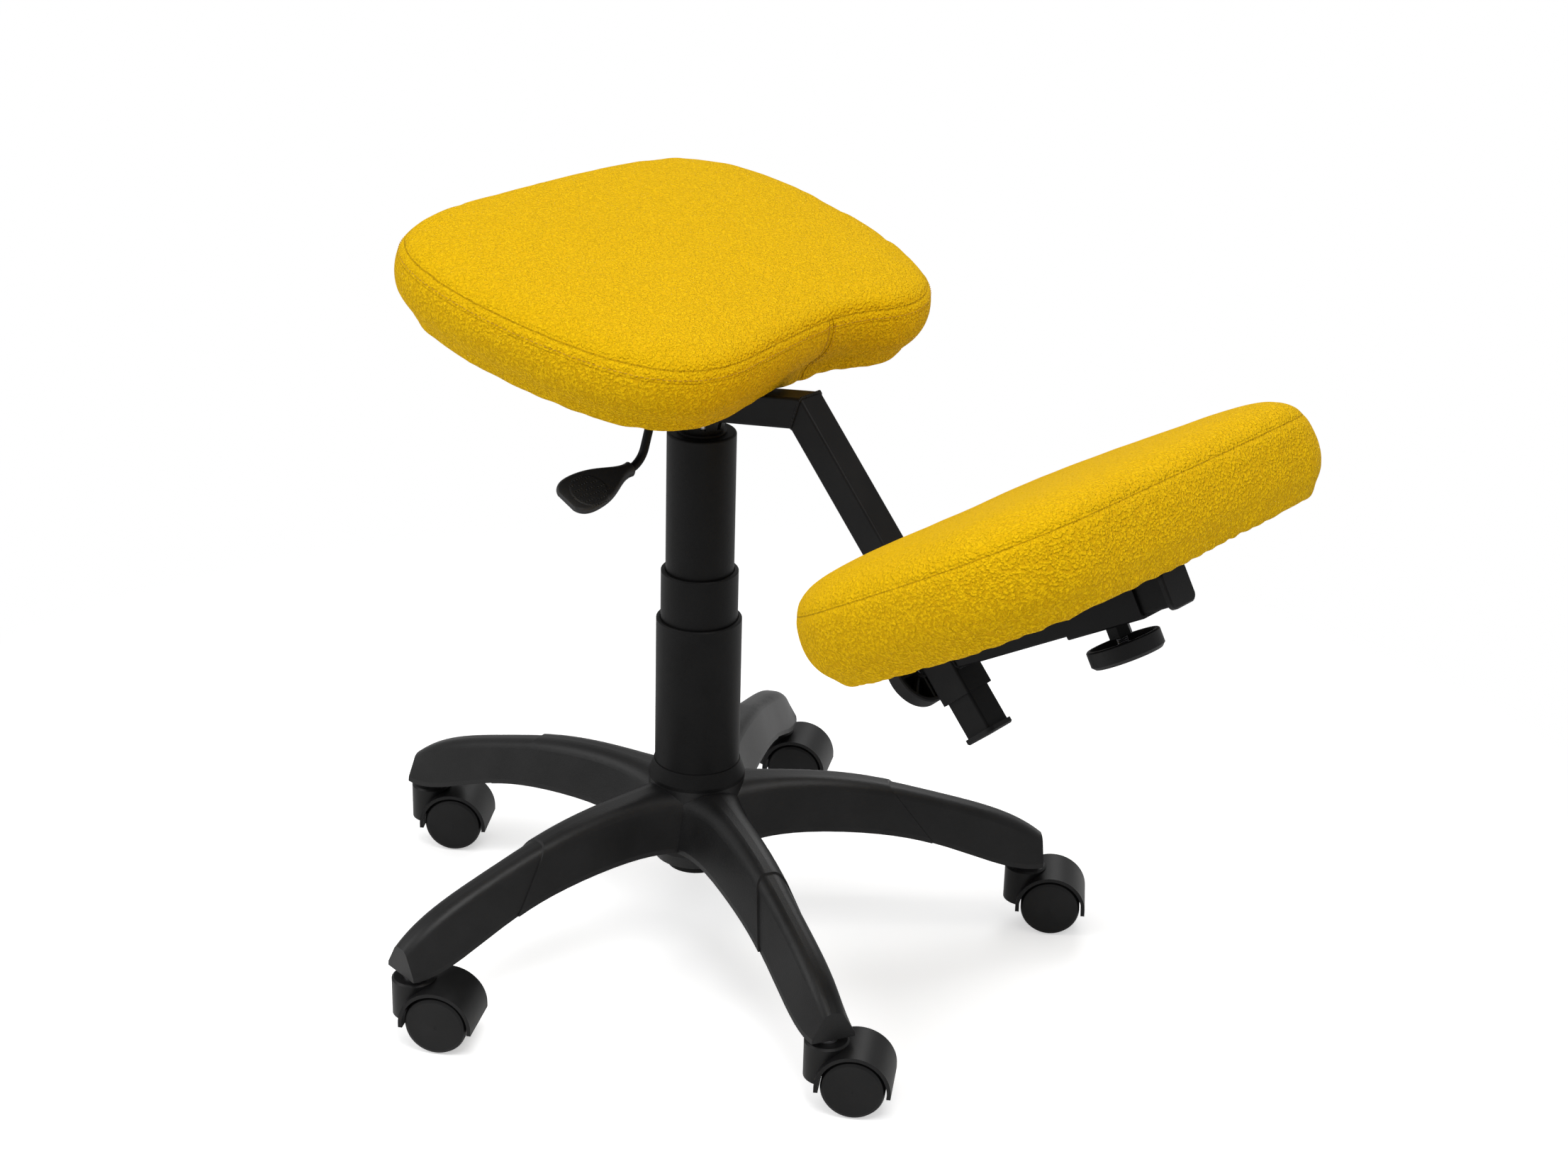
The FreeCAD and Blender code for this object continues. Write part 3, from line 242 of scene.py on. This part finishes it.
def sewingThread():
    thread = Finish("sewingThread")
    twist = thread.grain(1600.0, 2.0)
    colour = thread.blend(twist, tone(0.46, 0.24, 0.004), tone(0.62, 0.35, 0.008))
    return thread.wear(Base_Color=colour, Roughness=0.6 + 0.1 * twist, Normal=thread.bump(twist, 0.3, 0.0003))


def threadedSteel(name, way):
    screw = Finish(name)
    ridge = (screw.along(way) * (2 * math.pi / 0.00125)).wave()
    # painted shade and highlight: the thread's roots are coloured dark and its crests pale, following the
    # same ridge wave as the bump
    tint = screw.blend(ridge.smooth(-0.8, 0.8), tone(0.16, 0.16, 0.165), tone(0.62, 0.62, 0.64))
    return screw.wear(Base_Color=tint, Roughness=0.28 + 0.05 * ridge, Metallic=1.0,
                      Normal=screw.bump(ridge, 0.9, 0.0004))


paddleLook = {"patch": (-0.131, 0.0, 0.4285), "reach": 0.0185, "dimple": 380.0, "depth": 0.0008}


def paddleBlack():
    grip = Finish("paddleBlack")
    patch = 1.0 - grip.away(paddleLook["patch"]).smooth(paddleLook["reach"] - 0.002, paddleLook["reach"])
    dimple = grip.cells(paddleLook["dimple"], None, "F1", 0.0).smooth(0.12, 0.36)
    speck = grip.grain(1500.0, 2.0, 0.6)
    # painted shade: inside the grip patch the dimple hollows are coloured darker than the lands between them
    colour = grip.blend(patch * (1.0 - dimple), tone(0.018, 0.018, 0.0185), tone(0.006, 0.006, 0.006))
    return grip.wear(Base_Color=colour, Roughness=0.42 + 0.1 * speck, Specular_IOR_Level=0.34,
                     Normal=grip.bump(patch * dimple + speck * 0.12, 0.8, paddleLook["depth"]))


fallAngle = math.radians(48.1)
barSlope = math.radians(30.0)
downTube = Vector((0, -math.cos(fallAngle), -math.sin(fallAngle)))
frontWay = Vector((0, -math.sin(fallAngle), math.cos(fallAngle)))
barWay = Vector((0, -math.cos(barSlope), math.sin(barSlope)))
barUp = Vector((0, math.sin(barSlope), math.cos(barSlope)))
finishes = {
    "black_nylon": mouldedBlack("blackNylon", 0.0035, 0.0075, 0.42, 1500.0, 0.26),
    "castor_plastic": mouldedBlack("castorPlastic", 0.004, 0.008, 0.34, 1900.0, 0.12),
    "black_steel": coatedSteel(),
    "bright_steel": brightSteel(),
    "ply_board": dustCover(),
    "upholstery": yellowCloth("yellowCloth"),
}
seatCloth = yellowCloth("seatCloth", 0.0085, True)
kneeCloth = yellowCloth("kneeCloth")
coverNylon = mouldedBlack("coverNylon", 0.0020, 0.0045, 0.46, 1500.0, 0.26, 0.16)
special = {
    "star_base": mouldedBlack("baseNylon", 0.0035, 0.0075, 0.34, 1500.0, 0.26, 0.32),
    "lower_sleeve": coverNylon,
    "middle_sleeve": coverNylon,
    "top_sleeve": coverNylon,
    "sleeve_collar": coverNylon,
    "knee_stud": threadedSteel("kneeThread", tuple(frontWay)),
    "pad_stud": threadedSteel("padThread", tuple(barUp)),
    "lever_paddle": paddleBlack(),
}
threadFinish = sewingThread()
slotOf = {row["node"]: row["material_slot"] for row in frame["record"]["subparts"]}
for name, obj in nodes.items():
    obj.data.materials.clear()
    obj.data.materials.append(special.get(name, finishes[slotOf[name]]))
print("finishes assigned")


def only(obj):
    bpy.ops.object.select_all(action="DESELECT")
    obj.select_set(True)
    bpy.context.view_layer.objects.active = obj


def applyAll(obj):
    only(obj)
    for modifier in list(obj.modifiers):
        bpy.ops.object.modifier_apply(modifier=modifier.name)


def settle(obj, finish, body):
    only(obj)
    bpy.ops.object.transform_apply(location=True, rotation=True, scale=True)
    obj.data.materials.clear()
    obj.data.materials.append(finish)
    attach(obj, body)
    return obj


# cushions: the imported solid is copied, remeshed, blown up by cloth pressure and sewn
padPlace = {"seatLevel": 0.526, "seatTilt": 11.0, "kneeAlong": 0.5295, "kneeUp": 0.1825}
seatSpot = Vector((0, 0, padPlace["seatLevel"]))
seatFrame = Matrix.Translation(seatSpot) @ Matrix.Rotation(math.radians(padPlace["seatTilt"]), 4, "X")
kneeSpot = barWay * padPlace["kneeAlong"] + barUp * padPlace["kneeUp"]
padFrame = Matrix.Translation(kneeSpot) @ Matrix.Rotation(-barSlope, 4, "X")

seatPad = {"node": "seat_cushion", "voxel": 0.005, "pressure": 3.5, "frames": 18, "cap": 0.0006,
           "sink": 0.0003, "slack": 0.03, "hold": 0.008, "seam": 0.052, "middle": 0.0415, "topStitch": 0.0062,
           "dent": 0.0004, "gather": 0.0004, "wrap": 0.009, "drop": 0.007, "sway": 0.028, "fill": 0.75}
kneePad = {"node": "knee_cushion", "voxel": 0.005, "pressure": 3.5, "frames": 18, "cap": 0.0006,
           "sink": 0.0003, "slack": 0.03, "hold": 0.008, "seam": 0.057, "middle": 0.0, "topStitch": 0.0,
           "dent": 0.0004, "gather": 0.0007, "wrap": 0.0045, "drop": 0.0, "sway": 0.0, "fill": 0.75}
stuffing = {"join": 0.00002, "edge": 0.006, "notchReach": 0.035, "easing": 3, "stiff": 25.0, "bend": 4.0}
sewing = {"seamReach": 0.0035, "jointReach": 0.0045, "jointDent": 0.0016, "jointRise": 6.0,
          "gatherHeight": 0.034, "gathers": 46, "swayReach": 0.075, "swayStart": -0.02, "swayRun": 0.06}


def blownCopy(name, look, toWorld):
    source = nodes[look["node"]]
    pad = bpy.data.objects.new(name, source.data.copy())
    bpy.context.scene.collection.objects.link(pad)
    only(pad)
    bpy.ops.object.mode_set(mode="EDIT")
    bpy.ops.mesh.select_all(action="SELECT")
    bpy.ops.mesh.remove_doubles(threshold=stuffing["join"])
    bpy.ops.object.mode_set(mode="OBJECT")
    # the cloth is drawn down over the edge of the board
    toLocal = toWorld.inverted()
    upWay = toWorld.to_3x3() @ Vector((0, 0, 1))
    for vertex in pad.data.vertices:
        local = toLocal @ vertex.co
        if local.z < stuffing["edge"]:
            notch = look["drop"] * math.exp(-(local.x / stuffing["notchReach"]) ** 2) if local.y < 0 else 0.0
            vertex.co -= upWay * (look["wrap"] + notch)
    remesh = pad.modifiers.new("Remesh", "REMESH")
    remesh.mode = "VOXEL"
    remesh.voxel_size = look["voxel"]
    ease = pad.modifiers.new("Ease", "SMOOTH")
    ease.iterations = stuffing["easing"]
    applyAll(pad)
    rest = [(v.co.copy(), v.normal.copy()) for v in pad.data.vertices]
    staples = pad.vertex_groups.new(name="staples")
    staples.add([v.index for v in pad.data.vertices if (toLocal @ v.co).z < look["hold"]], 1.0, "REPLACE")
    cloth = pad.modifiers.new("Cloth", "CLOTH")
    cloth.settings.use_pressure = True
    cloth.settings.uniform_pressure_force = look["pressure"]
    cloth.settings.effector_weights.gravity = 0.0
    cloth.settings.tension_stiffness = stuffing["stiff"]
    cloth.settings.compression_stiffness = stuffing["stiff"]
    cloth.settings.bending_stiffness = stuffing["bend"]
    cloth.settings.shrink_min = -look["slack"]
    cloth.settings.vertex_group_mass = staples.name
    for step in range(1, look["frames"] + 1):
        bpy.context.scene.frame_set(step)
    applyAll(pad)
    bpy.context.scene.frame_set(1)
    for vertex, (start, normal) in zip(pad.data.vertices, rest):
        lift = (vertex.co - start).dot(normal)
        vertex.co = start + normal * max(-look["sink"], min(look["cap"], lift))
    divide = pad.modifiers.new("Divide", "SUBSURF")
    divide.levels = 1
    divide.render_levels = 1
    applyAll(pad)
    return pad


def sewPad(pad, look, toWorld, joint=False):
    # stores how far each point lies from the seams, dents the skin there and gathers the lower edge
    toLocal = toWorld.inverted()
    sideWay = toWorld.to_3x3() @ Vector((1, 0, 0))
    mesh = pad.data
    seamMark = mesh.attributes.new("seamGap", "FLOAT", "POINT")
    jointMark = mesh.attributes.new("jointGap", "FLOAT", "POINT")
    normals = [v.normal.copy() for v in mesh.vertices]
    gaps = []
    sides = []
    for vertex, normal in zip(mesh.vertices, normals):
        local = toLocal @ vertex.co
        gap = local.z - look["seam"]
        push = -look["dent"] * math.exp(-(gap / sewing["seamReach"]) ** 2)
        side = 1.0
        if joint and local.y < 0.0:
            over = max(0.0, gap) * sewing["jointRise"]
            side = math.hypot(local.x, over) if local.x >= 0 else -math.hypot(local.x, over)
            push -= sewing["jointDent"] * math.exp(-(side / sewing["jointReach"]) ** 2)
        low = 1.0 - max(0.0, min(1.0, local.z / sewing["gatherHeight"]))
        angle = math.atan2(local.y - look["middle"], local.x)
        ripple = math.sin(angle * sewing["gathers"] + 4.0 * noise.noise(Vector((angle * 3, 2.0, 0.5))))
        push += look["gather"] * low * low * ripple * (0.5 + noise.noise(Vector((angle * 7, 5.0, 1.0))))
        soft = noise.noise(local * 16.0) * 0.0007 + noise.noise(local * 45.0) * 0.0002
        # the front joint sits a little off the middle
        front = min(1.0, max(0.0, (sewing["swayStart"] - local.y) / sewing["swayRun"]))
        sway = look["sway"] * math.exp(-(local.x / sewing["swayReach"]) ** 2)
        sway = sway * front * front * (3 - 2 * front)
        vertex.co += normal * (push + soft) + sideWay * sway
        gaps.append(gap)
        sides.append(side)
    seamMark.data.foreach_set("value", gaps)
    jointMark.data.foreach_set("value", sides)
    mesh.update()
    for polygon in mesh.polygons:
        polygon.use_smooth = True


def padTree(pad):
    return BVHTree.FromPolygons([v.co.copy() for v in pad.data.vertices],
                                [tuple(p.vertices) for p in pad.data.polygons])


def ringOn(tree, toWorld, level, look, samples=900):
    # walk round the pad at one height and drop each point on its skin
    found = []
    for i in range(samples):
        angle = 2 * math.pi * i / samples
        way = Vector((math.cos(angle), math.sin(angle), 0))
        start = way * 0.4 + Vector((0, look["middle"], look["seam"] + level))
        spot, normal, _, _ = tree.ray_cast(toWorld @ start, toWorld.to_3x3() @ -way)
        if spot is not None:
            found.append((spot, normal))
    return found


def stitchRow(name, trail, closed, stitch):
    # one stitch is a small bent bar, copied along the trail
    spots = [p for p, _ in trail]
    spans = len(spots) if closed else len(spots) - 1
    gaps = [(spots[(i + 1) % len(spots)] - spots[i]).length for i in range(spans)]
    total = sum(gaps)
    count = int(total / stitch["pitch"])
    bm = bmesh.new()
    walked = 0.0
    index = 0
    for k in range(count):
        target = total * k / count
        while index < len(gaps) - 1 and walked + gaps[index] < target:
            walked += gaps[index]
            index += 1
        here, normal = trail[index]
        there = trail[(index + 1) % len(trail)][0]
        share = (target - walked) / max(gaps[index], 1e-9)
        middle = here.lerp(there, share)
        along = (there - here).normalized()
        across = normal.cross(along).normalized()
        rows = []
        for s, lift, thick in stitch["form"]:
            centre = middle + along * s * stitch["length"] + normal * lift
            radius = stitch["radius"] * thick
            rows.append([bm.verts.new(centre + (across * math.cos(a) + normal * math.sin(a)) * radius)
                         for a in [2 * math.pi * j / 6 for j in range(6)]])
        for a, b in zip(rows, rows[1:]):
            for j in range(6):
                bm.faces.new((a[j], a[(j + 1) % 6], b[(j + 1) % 6], b[j]))
        bm.faces.new(list(reversed(rows[0])))
        bm.faces.new(rows[-1])
    bmesh.ops.recalc_face_normals(bm, faces=bm.faces)
    mesh = bpy.data.meshes.new(name)
    bm.to_mesh(mesh)
    bm.free()
    row = bpy.data.objects.new(name, mesh)
    bpy.context.scene.collection.objects.link(row)
    for polygon in mesh.polygons:
        polygon.use_smooth = True
    return row


stitchLook = {"pitch": 0.0040, "length": 0.0031, "radius": 0.00028,
              "form": ((-0.5, -0.0003, 0.5), (-0.3, 0.0002, 0.95), (0.0, 0.0004, 1.0), (0.3, 0.0002, 0.95),
                       (0.5, -0.0003, 0.5))}
jointLook = {"aside": 0.0040, "low": 0.008, "rise": 0.042, "steps": 70, "from": -0.3}

seat = blownCopy("seatUpholstery", seatPad, seatFrame)
sewPad(seat, seatPad, seatFrame, joint=True)
settle(seat, seatCloth, "carrier")
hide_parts("seat_cushion")
print("seat cushion:", len(seat.data.polygons), "faces")

knee = blownCopy("kneeUpholstery", kneePad, padFrame)
sewPad(knee, kneePad, padFrame)
settle(knee, kneeCloth, "pad_carriage")
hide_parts("knee_cushion")
print("knee cushion:", len(knee.data.polygons), "faces")

seatTree = padTree(seat)
topRing = ringOn(seatTree, seatFrame, -seatPad["topStitch"], seatPad)
row = stitchRow("seatTopStitch", topRing, True, stitchLook)
settle(row, threadFinish, "carrier")
for side in (-1, 1):
    trail = []
    for step in range(jointLook["steps"]):
        level = jointLook["low"] + jointLook["rise"] * step / (jointLook["steps"] - 1)
        start = Vector((seatPad["sway"] + side * jointLook["aside"], jointLook["from"], level))
        spot, normal, _, _ = seatTree.ray_cast(seatFrame @ start, seatFrame.to_3x3() @ Vector((0, 1, 0)))
        if spot is not None:
            trail.append((spot, normal))
    row = stitchRow("seatJointStitch" + ("Left" if side > 0 else "Right"), trail, False, stitchLook)
    settle(row, threadFinish, "carrier")
print("stitches sewn")


# weld beads round the square tubes
beadLook = {"radius": 0.0015, "pitch": 0.0014, "corner": 0.176, "voxel": 0.0004, "easing": 2}
tubeLook = {"half": 0.0125, "rise": 10.0, "crank": (0, -0.1053, 0.492), "kneeAlong": 0.214, "kneeOut": 0.015,
            "barLevel": 0.1645}


def weldBead(name, corners, body):
    # a run of small overlapping puddles along the sides of a ring
    points = []
    for a, b in zip(corners, corners[1:] + corners[:1]):
        steps = max(2, int((b - a).length / beadLook["pitch"]))
        points.extend(a.lerp(b, i / steps) for i in range(steps))
    bm = bmesh.new()
    for spot in points:
        sway = 1.0 + 0.22 * noise.noise(spot * 900.0)
        ball = bmesh.ops.create_icosphere(bm, subdivisions=2, radius=beadLook["radius"] * sway)["verts"]
        bmesh.ops.translate(bm, verts=ball, vec=spot)
    mesh = bpy.data.meshes.new(name)
    bm.to_mesh(mesh)
    bm.free()
    bead = bpy.data.objects.new(name, mesh)
    bpy.context.scene.collection.objects.link(bead)
    only(bead)
    melt = bead.modifiers.new("Melt", "REMESH")
    melt.mode = "VOXEL"
    melt.voxel_size = beadLook["voxel"]
    ease = bead.modifiers.new("Ease", "SMOOTH")
    ease.iterations = beadLook["easing"]
    applyAll(bead)
    for polygon in bead.data.polygons:
        polygon.use_smooth = True
    return settle(bead, finishes["black_steel"], body)


riseAngle = math.radians(tubeLook["rise"])
upperWay = Vector((0, -math.cos(riseAngle), math.sin(riseAngle)))
upperUp = Vector((0, math.sin(riseAngle), math.cos(riseAngle)))
crank = Vector(tubeLook["crank"])
mitreNormal = (upperWay + downTube).normalized()
halfTube = tubeLook["half"]
ease = 1.0 - beadLook["corner"]
aroundTube = [(1, ease), (ease, 1), (-ease, 1), (-1, ease), (-1, -ease), (-ease, -1), (ease, -1), (1, -ease)]


def meets(spot, way, planeSpot, planeNormal):
    return spot + way * ((planeSpot - spot).dot(planeNormal) / way.dot(planeNormal))


crankRing = []
barRing = []
kneeFace = crank + downTube * tubeLook["kneeAlong"] + frontWay * tubeLook["kneeOut"]
for side, up in aroundTube:
    spot = crank + Vector((side * halfTube, 0, 0)) + upperUp * up * halfTube
    crankRing.append(meets(spot, upperWay, crank, mitreNormal))
    spot = barUp * (tubeLook["barLevel"] + up * halfTube) + Vector((side * halfTube, 0, 0))
    barRing.append(meets(spot, barWay, kneeFace, frontWay))
weldBead("crankWeld", crankRing, "carrier")
weldBead("barWeld", barRing, "knee_carriage")
print("welds laid")

# bracket under the seat, its plate tapering to the front so that it stays out of sight in the notch
bracketTaper = {"front": -0.088, "from": 0.015, "slope": 0.42}
bracket = bpy.data.objects.new("seatBracket", nodes["seat_bracket"].data.copy())
bpy.context.scene.collection.objects.link(bracket)
for vertex in bracket.data.vertices:
    spread = abs(vertex.co.x) - bracketTaper["from"]
    if spread > 0:
        vertex.co.y = max(vertex.co.y, bracketTaper["front"] + bracketTaper["slope"] * spread)
settle(bracket, finishes["black_steel"], "carrier")
only(bracket)
bpy.ops.object.shade_smooth_by_angle(angle=math.radians(35))
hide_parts("seat_bracket")
print("bracket tapered")

# studio: pale floor, white backdrop light, soft lamps
studio = {"ambient": 0.50, "floorTone": 0.90, "floorGlow": 0.47, "fadeFrom": 0.42, "fadeTo": 0.95,
          "floorSize": 14.0}
world = bpy.data.worlds.new("Studio")
bpy.context.scene.world = world
world.use_nodes = True
tree = world.node_tree
back = tree.nodes["Background"]
back.inputs["Color"].default_value = (1, 1, 1, 1)
path = tree.nodes.new("ShaderNodeLightPath")
pick = tree.nodes.new("ShaderNodeMix")
pick.data_type = "FLOAT"
pick.inputs[2].default_value = studio["ambient"]
pick.inputs[3].default_value = 1.0
tree.links.new(path.outputs["Is Camera Ray"], pick.inputs[0])
tree.links.new(pick.outputs[0], back.inputs["Strength"])

bpy.ops.object.select_all(action="DESELECT")
bpy.ops.mesh.primitive_plane_add(size=studio["floorSize"], location=(0, 0, -0.0005))
floor = bpy.context.active_object
floor.name = "paleFloor"
pale = Finish("paleFloor")
ray = pale.node("ShaderNodeLightPath", {}, {}, out="Is Camera Ray")
flat = pale.node("ShaderNodeMapping", {}, {"Vector": pale.place(), "Scale": (1.0, 1.0, 0.0)})
reach = pale.node("ShaderNodeVectorMath", {"operation": "LENGTH"}, {0: flat}, out="Value")
paleTone = tone(studio["floorTone"], studio["floorTone"], studio["floorTone"])
pale.wear(Base_Color=paleTone, Roughness=0.9, Emission_Color=tone(1, 1, 1), Specular_IOR_Level=0.05)
pale.tree.links.new((ray * studio["floorGlow"]).socket, pale.shader.inputs["Emission Strength"])
glow = pale.node("ShaderNodeEmission", {}, {"Color": tone(1, 1, 1), "Strength": 1.0})
fade = ray * reach.smooth(studio["fadeFrom"], studio["fadeTo"])
mixed = pale.node("ShaderNodeMixShader", {}, {0: fade, 1: Sock(pale, pale.shader.outputs[0]), 2: glow})
pale.tree.links.new(mixed.socket, pale.tree.nodes["Material Output"].inputs["Surface"])
floor.data.materials.append(pale.material)


def softLamp(name, place, target, size, power):
    bpy.ops.object.light_add(type="AREA", location=place)
    lamp = bpy.context.active_object
    lamp.name = name
    lamp.data.shape = "DISK"
    lamp.data.size = size
    lamp.data.energy = power
    lamp.rotation_euler = (Vector(target) - Vector(place)).to_track_quat("-Z", "Y").to_euler()


softLamp("keyLamp", (-0.55, -0.95, 2.5), (0, -0.1, 0.4), 1.5, 31.5)
softLamp("fillLamp", (-1.6, 1.2, 1.7), (0, 0, 0.4), 1.6, 18.0)
softLamp("rimLamp", (1.9, 0.6, 1.9), (0, -0.1, 0.4), 1.2, 12.0)

# camera at the photograph's viewpoint
viewpoint = {"place": (-1.5246, -1.3506, 1.1782), "azimuth": -50.39, "elevation": 22.96, "roll": 1.59,
             "focal": 3845.8, "photoWidth": 2212.0, "sensor": 36.0}


def aimCamera():
    a = math.radians(viewpoint["azimuth"])
    e = math.radians(viewpoint["elevation"])
    r = math.radians(viewpoint["roll"])
    backward = Vector((math.sin(a) * math.cos(e), -math.cos(a) * math.cos(e), math.sin(e)))
    side = Vector((math.cos(a), math.sin(a), 0))
    upward = backward.cross(side)
    right = side * math.cos(r) + upward * math.sin(r)
    up = upward * math.cos(r) - side * math.sin(r)
    bpy.ops.object.camera_add(location=viewpoint["place"])
    camera = bpy.context.active_object
    camera.rotation_euler = Matrix((right, up, backward)).transposed().to_euler()
    camera.data.sensor_width = viewpoint["sensor"]
    camera.data.lens = viewpoint["focal"] * viewpoint["sensor"] / viewpoint["photoWidth"]
    camera.data.clip_start = 0.05
    bpy.context.scene.camera = camera


aimCamera()
bpy.context.scene.view_settings.view_transform = "Standard"
print("scene ready")
